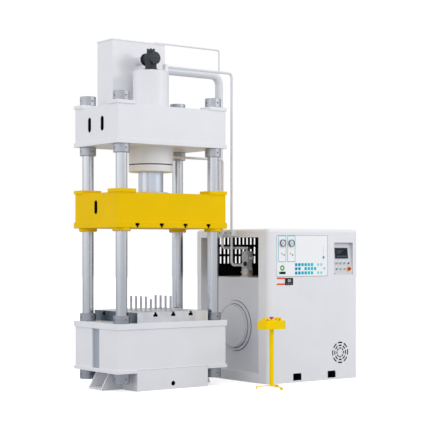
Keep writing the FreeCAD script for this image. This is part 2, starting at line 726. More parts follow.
def make_bed():
    half_x, half_y = PRESS_WIDTH / 2.0, PRESS_DEPTH / 2.0
    proud_x, proud_y = half_x + PLATE_PROUD, half_y + PLATE_PROUD
    deck = eased(plate(proud_x, proud_y, DECK_Z, TABLE_Z), PLATE_EASE, high=TABLE_Z)
    sole = plate(proud_x, proud_y, FOOT_HEIGHT, BED_BOX_Z)
    for side in (-1, 1):
        ys = sorted((side * half_y, side * proud_y))
        sole = sole.cut(block(-BLOCK_X, BLOCK_X, ys[0], ys[1], FOOT_HEIGHT, BED_BOX_Z))
    bed = fuse([deck, sole] + beam_shell(BED_BOX_Z, DECK_Z, NUT_R))
    cutters = at_columns(COLUMN_R, FOOT_HEIGHT, TABLE_Z)
    cutters.append(plate(CUSHION_X + DECK_OPENING_ROOM_X, CUSHION_Y + DECK_OPENING_ROOM_Y, DECK_Z, TABLE_Z))
    cutters.append(rod(EJECTOR_R + PIN_CLEARANCE, (0, 0, FOOT_HEIGHT), (0, 0, BED_BOX_Z)))
    for start in (-half_x, half_x - BED_WINDOW_DEPTH):
        cutters.append(block(start, start + BED_WINDOW_DEPTH, -BED_WINDOW_Y, BED_WINDOW_Y, BED_BOX_Z, DECK_Z))
    return bed.cut(cutters)


def table_pin_places():
    """Centres of the eight cushion pins."""
    middle = (PINS_PER_ROW - 1) / 2.0
    return [(x, (row - middle) * PIN_PITCH_Y) for x in (-PIN_X, PIN_X) for row in range(PINS_PER_ROW)]


def make_bolster_table():
    table = eased(plate(BLOCK_X, TABLE_Y, TABLE_Z, TABLE_TOP_Z), TABLE_EASE, high=TABLE_TOP_Z)
    cutters = [rod(PIN_R + PIN_CLEARANCE, (x, y, TABLE_Z), (x, y, TABLE_TOP_Z))
               for x, y in table_pin_places() + [(0.0, 0.0)]]
    for x in (-TABLE_SLOT_X, TABLE_SLOT_X):
        cutters.append(tee_slot("y", x, -TABLE_Y, TABLE_Y, TABLE_TOP_Z, 1))
    for side in (-1, 1):
        run = sorted((side * CENTRE_SLOT_END_Y, side * TABLE_Y))
        cutters.append(tee_slot("y", 0.0, run[0], run[1], TABLE_TOP_Z, 1))
        for y in (-TABLE_SLOT_Y, TABLE_SLOT_Y):
            run = sorted((side * SIDE_SLOT_END_X, side * BLOCK_X))
            cutters.append(tee_slot("x", y, run[0], run[1], TABLE_TOP_Z, 1))
    return table.cut(cutters)


def make_crown():
    half_x, half_y = PRESS_WIDTH / 2.0, PRESS_DEPTH / 2.0
    proud_x, proud_y = half_x + PLATE_PROUD, half_y + PLATE_PROUD
    sole = eased(plate(proud_x, proud_y, CROWN_Z, CROWN_BOX_Z), PLATE_EASE, low=CROWN_Z)
    walls = beam_shell(CROWN_BOX_Z, CROWN_TOP_Z - WALL, NUT_R)
    lid = rounded_block(-half_x, half_x, -half_y, half_y, CROWN_TOP_Z - WALL, CROWN_TOP_Z, EDGE_ROUND)
    hub = rod(CYLINDER_R + WALL, (0, 0, CROWN_BOX_Z), (0, 0, CROWN_TOP_Z))
    crown = fuse([sole, lid, hub] + walls + corner_pads(CROWN_TOP_Z, CROWN_PAD_Z))
    cutters = at_columns(COLUMN_R, CROWN_Z, CROWN_PAD_Z)
    cutters.append(rod(CYLINDER_R, (0, 0, CROWN_Z), (0, 0, CROWN_TOP_Z)))
    for start in (-half_x, half_x - WALL):
        for y in (-CROWN_HOLE_Y, CROWN_HOLE_Y):
            place = (start, y, CROWN_BOX_Z + CROWN_HOLE_Z)
            cutters.append(long_hole(SIDE_HOLE_W, CROWN_HOLE_H, place, WALL))
    return crown.cut(cutters)


def make_slide():
    half_x, half_y = PRESS_WIDTH / 2.0, PRESS_DEPTH / 2.0
    proud_x, proud_y = half_x + PLATE_PROUD, half_y + PLATE_PROUD
    sole = eased(plate(proud_x, proud_y, SLIDE_Z, SLIDE_BOX_Z), PLATE_EASE, low=SLIDE_Z, high=SLIDE_BOX_Z)
    walls = beam_shell(SLIDE_BOX_Z, SLIDE_TOP_Z - WALL, BUSH_R + WALL)
    lid = rounded_block(-half_x, half_x, -half_y, half_y, SLIDE_TOP_Z - WALL, SLIDE_TOP_Z, EDGE_ROUND)
    slide = fuse([sole, lid] + walls + corner_pads(SLIDE_TOP_Z, SLIDE_PAD_Z))
    cutters = at_columns(BUSH_R, SLIDE_Z, SLIDE_PAD_Z)
    cutters += [tee_slot("y", x, -proud_y, proud_y, SLIDE_Z, -1) for x in SLIDE_SLOTS_X]
    for start in (-half_x, half_x - WALL):
        place = (start, 0.0, SLIDE_BOX_Z + SLIDE_HOLE_Z)
        cutters.append(long_hole(SIDE_HOLE_W, SLIDE_HOLE_H, place, WALL))
    return slide.cut(cutters)


def make_guide_bushes():
    foot = SLIDE_Z - BUSH_FLANGE_H
    bushes = []
    for flange, sleeve, bore in zip(at_columns(BUSH_FLANGE_R, foot, SLIDE_Z),
                                    at_columns(BUSH_R, SLIDE_Z, SLIDE_PAD_Z),
                                    at_columns(COLUMN_R + RUNNING_GAP, foot, SLIDE_PAD_Z)):
        bushes.append(fuse([eased(flange, PLATE_EASE, low=foot), sleeve]).cut(bore))
    return group(bushes)


def make_columns():
    return group([eased(column, NUT_EASE, low=COLUMN_BOTTOM_Z, high=COLUMN_TOP_Z)
                  for column in at_columns(COLUMN_R, COLUMN_BOTTOM_Z, COLUMN_TOP_Z)])


def make_nut(x, y, z0, z1):
    """Round nut with four radial spanner holes."""
    nut = eased(rod(NUT_R, (x, y, z0), (x, y, z1)), NUT_EASE, low=z0, high=z1)
    cutters = [rod(COLUMN_R, (x, y, z0), (x, y, z1))]
    middle = (z0 + z1) / 2.0
    for dx, dy in ((1, 0), (-1, 0), (0, 1), (0, -1)):
        outer = (x + dx * NUT_R, y + dy * NUT_R, middle)
        inner = (x + dx * (NUT_R - NUT_HOLE_DEPTH), y + dy * (NUT_R - NUT_HOLE_DEPTH), middle)
        cutters.append(rod(NUT_HOLE_R, inner, outer))
    return nut.cut(cutters)


def make_nuts(levels):
    """Nuts at all four columns, at each pair of heights."""
    return group([make_nut(sx * COLUMN_X, sy * COLUMN_Y, z0, z1) for z0, z1 in levels
                  for sx, sy in CORNERS])


# -------------------------------------------------------- main cylinder and ram
def make_main_cylinder():
    barrel = rod(CYLINDER_R, (0, 0, CROWN_Z), (0, 0, HEAD_Z))
    shoulder = rod(SHOULDER_R, (0, 0, CYLINDER_LOW_Z), (0, 0, CROWN_Z))
    waist = rod(SHOULDER_R - GROOVE_DEPTH, (0, 0, GLAND_TOP_Z), (0, 0, CYLINDER_LOW_Z))
    port = rod(PORT_R, (SHOULDER_R - WALL, RETURN_PIPE_Y, RETURN_PIPE_Z),
               (PORT_REACH, RETURN_PIPE_Y, RETURN_PIPE_Z))
    cylinder = fuse([barrel, shoulder, waist, port])
    bore = rod(CYLINDER_BORE_R, (0, 0, GLAND_TOP_Z), (0, 0, HEAD_Z))
    inlet = rod(SMALL_PIPE_R - SMALL_PIPE_WALL, (0, RETURN_PIPE_Y, RETURN_PIPE_Z),
                (PORT_REACH, RETURN_PIPE_Y, RETURN_PIPE_Z))
    return cylinder.cut([bore, inlet])


def make_cylinder_gland():
    spigot_top = GLAND_TOP_Z + GLAND_H
    body = eased(rod(SHOULDER_R, (0, 0, GLAND_Z), (0, 0, GLAND_TOP_Z)), GLAND_EASE, low=GLAND_Z)
    spigot = rod(CYLINDER_BORE_R, (0, 0, GLAND_TOP_Z), (0, 0, spigot_top))
    return fuse([body, spigot]).cut(rod(RAM_R + RUNNING_GAP, (0, 0, GLAND_Z), (0, 0, spigot_top)))


def make_cylinder_head():
    cap = eased(rod(CYLINDER_R, (0, 0, HEAD_Z), (0, 0, VALVE_Z)), HEAD_EASE, high=VALVE_Z)
    spigot = rod(CYLINDER_BORE_R, (0, 0, HEAD_Z - HEAD_H), (0, 0, HEAD_Z))
    half = PORT_BLOCK_W / 2.0
    port = block(PORT_BLOCK_X, PORT_BLOCK_X + PORT_BLOCK_L, PRESSURE_PIPE_Y - half, PRESSURE_PIPE_Y + half,
                 HEAD_Z, PRESSURE_PIPE_Z + PORT_BLOCK_OVER)
    return fuse([cap, spigot, port]).cut(rod(VALVE_R - VALVE_WALL, (0, 0, HEAD_Z - HEAD_H), (0, 0, VALVE_Z)))


def make_ram():
    piston_top = RAM_PISTON_Z + RAM_PISTON_H
    flange_top = SLIDE_TOP_Z + RAM_FLANGE_H
    stem = rod(RAM_R, (0, 0, SLIDE_TOP_Z), (0, 0, piston_top))
    piston = rod(CYLINDER_BORE_R - RUNNING_GAP, (0, 0, RAM_PISTON_Z), (0, 0, piston_top))
    flange = rod(RAM_R + RAM_FLANGE_W, (0, 0, SLIDE_TOP_Z), (0, 0, flange_top))
    return fuse([stem, piston, eased(flange, HEAD_EASE, high=flange_top)])


# --------------------------------------------------------------------- ejector
def make_ejector_cylinder():
    body = rod(EJECTOR_R, (0, 0, EJECTOR_BOTTOM_Z), (0, 0, EJECTOR_TOP_Z))
    flange = rod(EJECTOR_R + EJECTOR_FLANGE_W, (0, 0, BED_BOX_Z), (0, 0, BED_BOX_Z + EJECTOR_FLANGE_H))
    bore_top = EJECTOR_TOP_Z - EJECTOR_END
    bore = rod(EJECTOR_BORE_R, (0, 0, EJECTOR_BOTTOM_Z + EJECTOR_END), (0, 0, bore_top))
    throat = rod(EJECTOR_ROD_R + RUNNING_GAP, (0, 0, bore_top), (0, 0, EJECTOR_TOP_Z))
    return fuse([body, flange]).cut([bore, throat])


def make_ejector_rod():
    piston_top = EJECTOR_PISTON_Z + EJECTOR_PISTON_H
    piston = rod(EJECTOR_BORE_R - RUNNING_GAP, (0, 0, EJECTOR_PISTON_Z), (0, 0, piston_top))
    stem = rod(EJECTOR_ROD_R, (0, 0, EJECTOR_PISTON_Z), (0, 0, CUSHION_Z))
    pin_top = TABLE_TOP_Z + CENTRE_PIN_STAND
    pin = eased(rod(PIN_R, (0, 0, CUSHION_Z), (0, 0, pin_top)), PIN_EASE, high=pin_top)
    return fuse([piston, stem, pin])


def make_cushion_plate():
    top = CUSHION_Z + CUSHION_H
    slab = rounded_block(-CUSHION_X, CUSHION_X, -CUSHION_Y, CUSHION_Y, CUSHION_Z, top, CUSHION_ROUND)
    return slab.cut(rod(PIN_R, (0, 0, CUSHION_Z), (0, 0, top)))


def make_cushion_pins():
    foot, tip = CUSHION_Z + CUSHION_H, TABLE_TOP_Z + PIN_STAND
    return group([eased(rod(PIN_R, (x, y, foot), (x, y, tip)), PIN_EASE, high=tip)
                  for x, y in table_pin_places()])


# ------------------------------------------------- valve, oil tank and pipework
def make_prefill_valve():
    top = VALVE_Z + VALVE_H
    port_z = VALVE_Z + VALVE_PORT_Z
    flange_r = VALVE_R + VALVE_FLANGE_W
    pieces = [rod(flange_r, (0, 0, VALVE_Z), (0, 0, VALVE_Z + VALVE_FLANGE_H)),
              rod(VALVE_R, (0, 0, VALVE_Z), (0, 0, top)),
              rod(VALVE_CAP_R, (0, 0, top), (0, 0, top + VALVE_CAP_H)),
              rod(BIG_PIPE_R, (0, 0, port_z), (0, TANK_Y0, port_z))]
    for side, out in ((-1, VALVE_FRONT_OUT), (1, VALVE_BACK_OUT)):
        step = (0, side * (out - VALVE_DISC_T), port_z)
        pieces.append(rod(VALVE_NECK_R, (0, 0, port_z), step))
        pieces.append(rod(VALVE_DISC_R, step, (0, side * out, port_z)))
    return fuse(pieces)


def make_oil_tank():
    shell = rounded_block(-TANK_X, TANK_X, TANK_Y0, TANK_Y1, TANK_Z0, TANK_Z1, TANK_ROUND)
    inner = block(-TANK_X + TANK_SHELL, TANK_X - TANK_SHELL, TANK_Y0 + TANK_SHELL, TANK_Y1 - TANK_SHELL,
                  TANK_Z0 + TANK_SHELL, TANK_Z1)
    rail_x = TANK_X - TANK_RAIL_INSET
    rails = [block(x - TANK_RAIL_W / 2.0, x + TANK_RAIL_W / 2.0, TANK_Y0, PRESS_DEPTH / 2.0,
                   CROWN_TOP_Z, TANK_Z0) for x in (-rail_x, rail_x)]
    tank = fuse([shell.cut(inner)] + rails)
    outlet = rod(BIG_PIPE_R - BIG_PIPE_WALL, (TANK_X - TANK_SHELL, BIG_PIPE_Y, BIG_PIPE_Z),
                 (TANK_X, BIG_PIPE_Y, BIG_PIPE_Z))
    return tank.cut(outlet)


def make_tank_lid():
    lid = block(-TANK_X - TANK_LID_PROUD, TANK_X + TANK_LID_PROUD, TANK_Y0 - TANK_LID_PROUD,
                TANK_Y1 + TANK_LID_PROUD, TANK_Z1, TANK_LID_Z)
    lid = eased(lid, PLATE_EASE, high=TANK_LID_Z)
    y = TANK_Y1 - BREATHER_FROM_BACK
    cap_z = TANK_LID_Z + BREATHER_H
    breather = rod(BREATHER_R, (BREATHER_X, y, TANK_LID_Z), (BREATHER_X, y, cap_z))
    return fuse([lid, eased(breather, BREATHER_EASE, high=cap_z)])


def make_suction_pipe():
    run = [(TANK_X, BIG_PIPE_Y, BIG_PIPE_Z), (BIG_PIPE_X, BIG_PIPE_Y, BIG_PIPE_Z),
           (BIG_PIPE_X, BIG_PIPE_Y, CABINET_H)]
    flange = ring(BIG_PIPE_R + BIG_FLANGE_W, BIG_PIPE_R, (TANK_X, BIG_PIPE_Y, BIG_PIPE_Z),
                  (TANK_X + BIG_FLANGE_T, BIG_PIPE_Y, BIG_PIPE_Z))
    collar = ring(BIG_PIPE_R + BIG_COLLAR_W, BIG_PIPE_R, (BIG_PIPE_X, BIG_PIPE_Y, CABINET_H),
                  (BIG_PIPE_X, BIG_PIPE_Y, CABINET_H + BIG_COLLAR_T))
    return fuse([pipe(run, BIG_PIPE_R, BIG_PIPE_WALL, BIG_PIPE_BEND), flange, collar])


def make_pressure_pipe():
    entry = (VALVE_BLOCK_X0, PRESSURE_PIPE_Y, PRESSURE_PIPE_IN_Z)
    run = [(PORT_BLOCK_X + PORT_BLOCK_L, PRESSURE_PIPE_Y, PRESSURE_PIPE_Z),
           (RISER_X, PRESSURE_PIPE_Y, PRESSURE_PIPE_Z),
           (RISER_X, PRESSURE_PIPE_Y, PRESSURE_PIPE_IN_Z), entry]
    union = ring(SMALL_PIPE_R + UNION_W, SMALL_PIPE_R, (entry[0] - UNION_L,) + entry[1:], entry)
    return fuse([pipe(run, SMALL_PIPE_R, SMALL_PIPE_WALL, PRESSURE_PIPE_BEND), union])


def make_return_pipe():
    run = [(PORT_REACH, RETURN_PIPE_Y, RETURN_PIPE_Z), (RISER_X, RETURN_PIPE_Y, RETURN_PIPE_Z),
           (RISER_X, RETURN_PIPE_Y, RETURN_PIPE_IN_Z), (VALVE_BLOCK_X, RETURN_PIPE_Y, RETURN_PIPE_IN_Z),
           (VALVE_BLOCK_X, VALVE_BLOCK_Y, RETURN_PIPE_IN_Z), (VALVE_BLOCK_X, VALVE_BLOCK_Y, VALVE_BLOCK_Z1)]
    return pipe(run, SMALL_PIPE_R, SMALL_PIPE_WALL, RETURN_PIPE_BEND)


def make_vent_pipe():
    run = [(VENT_PIPE_X, BIG_PIPE_Y, TANK_LID_Z), (VENT_PIPE_X, BIG_PIPE_Y, VENT_PIPE_Z),
           (BIG_PIPE_X, BIG_PIPE_Y, VENT_PIPE_Z),
           (BIG_PIPE_X, BIG_PIPE_Y, BIG_PIPE_Z + BIG_PIPE_R - VENT_PIPE_SINK)]
    return pipe(run, VENT_PIPE_R, VENT_PIPE_WALL, VENT_PIPE_BEND)


def make_pipe_clamp():
    top = CLAMP_Z + CLAMP_H
    body = block(RISER_X - CLAMP_PROUD, CABINET_X0, PRESSURE_PIPE_Y - CLAMP_END, RETURN_PIPE_Y + CLAMP_END,
                 CLAMP_Z, top)
    cutters = [rod(SMALL_PIPE_R, (RISER_X, y, CLAMP_Z), (RISER_X, y, top))
               for y in (PRESSURE_PIPE_Y, RETURN_PIPE_Y)]
    cutters.append(block(RISER_X - CLAMP_PROUD, CABINET_X0 - CLAMP_BACK, PRESSURE_PIPE_Y + CLAMP_GAP_END,
                         RETURN_PIPE_Y - CLAMP_GAP_END, CLAMP_Z, top))
    return body.cut(cutters)


# --------------------------------------------------------------------- cabinet
def cabinet_prism(z0, z1, inset=0.0):
    """Rounded plan of the cabinet between two heights."""
    return rounded_block(CABINET_X0 + inset, CABINET_X1 - inset, CABINET_Y0 + inset, CABINET_Y1 - inset,
                         z0, z1, CABINET_ROUND - inset)


def fork_channel(x, wall):
    """Closed channel through the base for one fork of a lift truck."""
    half = FORK_W / 2.0
    return block(x - half - wall, x + half + wall, CABINET_Y0, CABINET_Y1,
                 FORK_Z - wall, FORK_Z + FORK_H + wall)


def make_cabinet_base():
    rim = cabinet_prism(0.0, BASE_H).cut(cabinet_prism(0.0, BASE_H, BASE_RIM))
    deck = cabinet_prism(BASE_H - BASE_DECK, BASE_H)
    channels = [fork_channel(x, FORK_WALL).common(cabinet_prism(0.0, BASE_H)) for x in FORK_X]
    return fuse([rim, deck] + channels).cut([fork_channel(x, 0.0) for x in FORK_X])


def cabinet_walls():
    """All four sheet walls in one, before they are parted."""
    return cabinet_prism(BASE_H, CABINET_TOP_Z).cut(cabinet_prism(BASE_H, CABINET_TOP_Z, SHEET))


def wall_section(x0, x1, y0, y1):
    """The stretch of the walls inside a plan rectangle."""
    return cabinet_walls().common(block(x0, x1, y0, y1, BASE_H, CABINET_TOP_Z))


def fan_slots():
    """Curved slots of the fan grille, as cutters through the front sheet."""
    cutters = []
    y0, y1 = CABINET_Y0, CABINET_Y0 + SHEET
    for radius in FAN_RINGS:
        outer = radius + FAN_SLOT / 2.0
        band = ring(outer, outer - FAN_SLOT, (FAN_X, y0, FAN_Z), (FAN_X, y1, FAN_Z))
        spoke_w = 2.0 * math.pi * radius / FAN_SLOTS_PER_RING * (1.0 - FAN_SLOT_FILL)
        spokes = []
        for k in range(FAN_SLOTS_PER_RING // 2):
            spoke = block(FAN_X - outer, FAN_X + outer, y0, y1, FAN_Z - spoke_w / 2.0, FAN_Z + spoke_w / 2.0)
            spoke.rotate(Vector(FAN_X, 0, FAN_Z), Vector(0, 1, 0), 360.0 / FAN_SLOTS_PER_RING * (k + 0.5))
            spokes.append(spoke)
        cutters.append(band.cut(spokes))
    return cutters


def make_cabinet_front():
    part_y = CABINET_Y0 + CABINET_ROUND
    front = wall_section(CABINET_X0, CABINET_X1, CABINET_Y0, part_y)
    opening = block(CONSOLE_X0, CONSOLE_X1, CABINET_Y0, CABINET_Y0 + SHEET, CONSOLE_Z0, CONSOLE_Z1)
    return front.cut([opening] + fan_slots())


def make_cabinet_top():
    outer = rolled(cabinet_prism(CABINET_TOP_Z, CABINET_H), CABINET_ROLL, CABINET_H)
    inner = rolled(cabinet_prism(CABINET_TOP_Z, CABINET_H - SHEET, SHEET), CABINET_ROLL - SHEET,
                   CABINET_H - SHEET)
    hole = rod(BIG_PIPE_R - BIG_PIPE_WALL, (BIG_PIPE_X, BIG_PIPE_Y, CABINET_TOP_Z),
               (BIG_PIPE_X, BIG_PIPE_Y, CABINET_H))
    return outer.cut([inner, hole])


def make_cabinet_left_frame():
    side = wall_section(CABINET_X0, CABINET_X0 + CABINET_ROUND, CABINET_Y0 + CABINET_ROUND,
                        CABINET_Y1 - CABINET_ROUND)
    lining = block(CABINET_X0, RESERVOIR_X0, RECESS_Y0 - SHEET, RECESS_Y1 + SHEET, BASE_H, RECESS_Z1 + SHEET)
    opening = block(CABINET_X0, RESERVOIR_X0, RECESS_Y0, RECESS_Y1, BASE_H, RECESS_Z1)
    return fuse([side, lining]).cut(opening)


def make_cabinet_right():
    return wall_section(CABINET_X1 - CABINET_ROUND, CABINET_X1, CABINET_Y0 + CABINET_ROUND,
                        CABINET_Y1 - CABINET_ROUND)


def make_cabinet_rear():
    rear = wall_section(CABINET_X0, CABINET_X1, CABINET_Y1 - CABINET_ROUND, CABINET_Y1)
    slots = []
    for row in range(VENT_ROWS):
        z = CABINET_H - VENT_FROM_TOP - row * VENT_PITCH_Z
        for k in range(VENT_COLUMNS):
            x = CABINET_X0 + VENT_FROM_LEFT + k * VENT_PITCH_X
            slots.append(block(x - VENT_SLOT_W / 2.0, x + VENT_SLOT_W / 2.0, CABINET_Y1 - SHEET, CABINET_Y1,
                               z - VENT_SLOT_H / 2.0, z + VENT_SLOT_H / 2.0))
    return rear.cut(slots)


def make_reservoir():
    tank = block(RESERVOIR_X0, RESERVOIR_X1, RECESS_Y0, RECESS_Y1, BASE_H, RESERVOIR_Z1)
    inner = block(RESERVOIR_X0 + TANK_SHELL, RESERVOIR_X1 - TANK_SHELL, RECESS_Y0 + TANK_SHELL,
                  RECESS_Y1 - TANK_SHELL, BASE_H + TANK_SHELL, RESERVOIR_Z1 - TANK_SHELL)
    man_hole = rod(HATCH_BORE_R, (RESERVOIR_X0, 0, HATCH_Z), (RESERVOIR_X0 + TANK_SHELL, 0, HATCH_Z))
    return tank.cut([inner, man_hole])


def make_hatch_cover():
    step = RESERVOIR_X0 - HATCH_RING_T
    front = step - HATCH_T
    base = rod(HATCH_RING_R, (step, 0, HATCH_Z), (RESERVOIR_X0, 0, HATCH_Z))
    dome = rod(HATCH_RING_R - HATCH_RING_W, (front, 0, HATCH_Z), (step, 0, HATCH_Z))
    return fuse([rim_rounded(base, step), rim_rounded(dome, front)])


def rim_rounded(disc, x):
    """Disc on the X axis with one rim rounded."""
    rims = [e for e in disc.Edges if e.BoundBox.XLength < 0.01 and abs(e.BoundBox.XMin - x) < 0.01]
    return disc.makeFillet(HATCH_EASE, rims)


# ------------------------------------------------------- board, gauges, console
def make_mimic_board():
    face = CABINET_Y0 - BOARD_T
    board = block(BOARD_X0, BOARD_X0 + BOARD_W, face, CABINET_Y0, BOARD_Z1 - BOARD_H, BOARD_Z1)
    return board.makeChamfer(BOARD_EASE, [e for e in board.Edges if e.BoundBox.YLength < 0.01
                                          and abs(e.BoundBox.YMin - face) < 0.01])


def make_pressure_gauges():
    back = CABINET_Y0 - BOARD_T
    front = back - GAUGE_DEPTH
    cases = []
    for x in GAUGE_X:
        case = rod(GAUGE_R, (x, front, GAUGE_Z), (x, back, GAUGE_Z))
        pocket = rod(GAUGE_R - GAUGE_RIM, (x, front, GAUGE_Z), (x, front + GAUGE_POCKET, GAUGE_Z))
        arbor = rod(NEEDLE_PIN_R + RUNNING_GAP, (x, front + GAUGE_POCKET, GAUGE_Z),
                    (x, back - GAUGE_BACK, GAUGE_Z))
        cases.append(case.cut([pocket, arbor]))
    return group(cases)


def make_gauge_needle(x):
    dial = CABINET_Y0 - BOARD_T - GAUGE_DEPTH + GAUGE_POCKET
    far = dial - NEEDLE_LIFT
    near = far - NEEDLE_T
    pointer = block(x - NEEDLE_TAIL, x + NEEDLE_LENGTH, near, far, GAUGE_Z - NEEDLE_W / 2.0,
                    GAUGE_Z + NEEDLE_W / 2.0)
    pointer.rotate(Vector(x, 0, GAUGE_Z), Vector(0, 1, 0), -NEEDLE_REST)
    hub = rod(NEEDLE_HUB_R, (x, near - NEEDLE_HUB_H, GAUGE_Z), (x, far, GAUGE_Z))
    pin = rod(NEEDLE_PIN_R, (x, near, GAUGE_Z), (x, dial + NEEDLE_PIN_DEPTH, GAUGE_Z))
    return fuse([pointer, hub, pin])


def console_point(x, up, out):
    """A place on the console: across, up along the tilted plate and out from its face."""
    y = CABINET_Y0 + CONSOLE_BOTTOM_DEPTH + up * math.sin(CONSOLE_TILT) - out * math.cos(CONSOLE_TILT)
    z = CONSOLE_Z0 + up * math.cos(CONSOLE_TILT) + out * math.sin(CONSOLE_TILT)
    return (x, y, z)


def console_rod(radius, x, up, out0, out1):
    """Round bar square to the console plate."""
    return rod(radius, console_point(x, up, out0), console_point(x, up, out1))


def is_stop(x, up):
    """True where the console holds its stop button."""
    return x == CONTROL_X[-1] and up == ROW_2_UP


def is_selector(x, up):
    """True where the console holds a rotary switch."""
    return x in CONTROL_X[:SELECTORS] and up == ROW_1_UP


def make_control_console():
    y0 = CABINET_Y0 + CONSOLE_BOTTOM_DEPTH
    y1 = CABINET_Y0 + CONSOLE_TOP_DEPTH
    back = CABINET_Y0 + CONSOLE_LIP
    sheet = [(y0, CONSOLE_Z0), (y1, CONSOLE_Z1), (y1 + CONSOLE_T, CONSOLE_Z1), (y0 + CONSOLE_T, CONSOLE_Z0)]
    cheek = [(back, CONSOLE_Z0), (back, CONSOLE_Z1)] + sheet[2:]
    pieces = [faced([(CONSOLE_X0, y, z) for y, z in sheet], (CONSOLE_W, 0, 0))]
    for x in (CONSOLE_X0, CONSOLE_X1 - CONSOLE_CHEEK):
        pieces.append(faced([(x, y, z) for y, z in cheek], (CONSOLE_CHEEK, 0, 0)))
    pieces.append(block(CONSOLE_X0, CONSOLE_X1, back, y1 + CONSOLE_T, CONSOLE_Z1 - CONSOLE_CHEEK, CONSOLE_Z1))
    places = [(x, up) for x in CONTROL_X for up in (ROW_1_UP, ROW_2_UP)]
    sleeve_end = -CONSOLE_T - BUTTON_SLEEVE_L
    for x, up in places:
        outer, height = (STOP_RING_R, STOP_RING_H) if is_stop(x, up) else (BEZEL_R, BEZEL_H)
        pieces.append(console_rod(outer, x, up, -CONSOLE_T, height))
        pieces.append(console_rod(BUTTON_SLEEVE_R, x, up, sleeve_end, 0.0))
    cutters = []
    for x, up in places:
        stem = STOP_STEM_R if is_stop(x, up) else STEM_R
        cutters.append(console_rod(stem + RUNNING_GAP, x, up, sleeve_end, BEZEL_H))
        if not is_stop(x, up) and not is_selector(x, up):
            cutters.append(console_rod(CAP_R + CAP_CLEARANCE, x, up, 0.0, BEZEL_H))
    return fuse(pieces).cut(cutters)


def console_slab(x, up, width, height, out, thickness):
    """Rectangular slab that lies parallel to the console plate."""
    corners = [console_point(x + sx * width / 2.0, up + sy * height / 2.0, out)
               for sx, sy in ((-1, -1), (1, -1), (1, 1), (-1, 1))]
    push = Vector(*console_point(0, 0, thickness)) - Vector(*console_point(0, 0, 0))
    return faced(corners, push)


def make_touch_screen():
    slab = console_slab(SCREEN_X, SCREEN_UP, SCREEN_W, SCREEN_H, 0.0, SCREEN_T)
    face = Vector(*console_point(SCREEN_X, SCREEN_UP, SCREEN_T))
    normal = face - Vector(*console_point(SCREEN_X, SCREEN_UP, 0))
    front = [e for e in slab.Edges if all(abs((v.Point - face).dot(normal)) < 0.01 for v in e.Vertexes)]
    return slab.makeChamfer(SCREEN_EASE, front)


def make_button(x, up):
    """Round push cap on its stem."""
    cap = console_rod(CAP_R, x, up, CAP_LIFT, CAP_LIFT + CAP_H)
    return fuse([cap, console_rod(STEM_R, x, up, -STEM_BACK, CAP_LIFT)])


def make_selector(x, up):
    """Rotary switch: a round skirt with a raised grip bar."""
    base = BEZEL_H + KNOB_LIFT
    skirt = console_rod(KNOB_R, x, up, base, base + KNOB_H)
    stem = console_rod(STEM_R, x, up, -STEM_BACK, base)
    grip = console_slab(x, up, KNOB_GRIP_W, 2.0 * KNOB_R, base + KNOB_H, KNOB_GRIP_H)
    return fuse([skirt, stem, grip])


def mushroom(cap, stem):
    """Stop button: rounded cap on a stem, from two round bars on one axis."""
    rims = [e for e in cap.Edges if e.Curve.TypeId == "Part::GeomCircle"]
    return fuse([cap.makeFillet(MUSHROOM_ROUND, rims), stem])


def make_console_stop():
    x, up = CONTROL_X[-1], ROW_2_UP
    return mushroom(console_rod(STOP_CAP_R, x, up, STOP_LIFT, STOP_LIFT + STOP_CAP_H),
                    console_rod(STOP_STEM_R, x, up, -STEM_BACK, STOP_LIFT))


# ----------------------------------------------------------- inside the cabinet
def fan_rod(radius, y0, y1):
    """Round bar on the fan's axis."""
    return rod(radius, (FAN_X, y0, FAN_Z), (FAN_X, y1, FAN_Z))


def make_fan_unit():
    y0 = CABINET_Y0 + SHEET
    y1 = y0 + FAN_SHROUD_L
    shroud = fan_rod(FAN_SHROUD_R + FAN_SHROUD_T, y0, y1).cut(fan_rod(FAN_SHROUD_R, y0, y1))
    motor_y = CABINET_Y0 + FAN_SET_BACK + FAN_HUB_L + FAN_HUB_GAP
    motor = fan_rod(FAN_MOTOR_R, motor_y, motor_y + FAN_MOTOR_L)
    bore = fan_rod(FAN_SHAFT_R + RUNNING_GAP, motor_y, motor_y + FAN_SHAFT_IN + FAN_SHAFT_END)
    arms = []
    for k in range(FAN_ARMS):
        arm = block(FAN_X, FAN_X + FAN_SHROUD_R + FAN_SHROUD_T / 2.0, y1 - FAN_ARM_T, y1,
                    FAN_Z - FAN_ARM_W / 2.0, FAN_Z + FAN_ARM_W / 2.0)
        arm.rotate(Vector(FAN_X, 0, FAN_Z), Vector(0, 1, 0), 360.0 / FAN_ARMS * (k + 0.5))
        arms.append(arm)
    return fuse([shroud, motor] + arms).cut(bore)


def make_fan_impeller():
    y0 = CABINET_Y0 + FAN_SET_BACK
    hub_back = y0 + FAN_HUB_L
    middle = y0 + FAN_HUB_L / 2.0
    root = FAN_HUB_R - FAN_BLADE_ROOT
    blades = []
    for k in range(FAN_BLADES):
        blade = block(FAN_X + root, FAN_X + FAN_BLADE_R, middle - FAN_BLADE_T / 2.0,
                      middle + FAN_BLADE_T / 2.0, FAN_Z - FAN_BLADE_W / 2.0, FAN_Z + FAN_BLADE_W / 2.0)
        blade.rotate(Vector(FAN_X, middle, FAN_Z), Vector(1, 0, 0), FAN_BLADE_TILT)
        blade.rotate(Vector(FAN_X, 0, FAN_Z), Vector(0, 1, 0), 360.0 / FAN_BLADES * k)
        blades.append(blade)
    sweep = fan_rod(FAN_BLADE_R, y0 - FAN_BLADE_W, hub_back + FAN_BLADE_W)
    hub = fan_rod(FAN_HUB_R, y0, hub_back)
    shaft = fan_rod(FAN_SHAFT_R, middle, hub_back + FAN_HUB_GAP + FAN_SHAFT_IN)
    return fuse([fuse([hub] + blades).common(sweep), shaft])


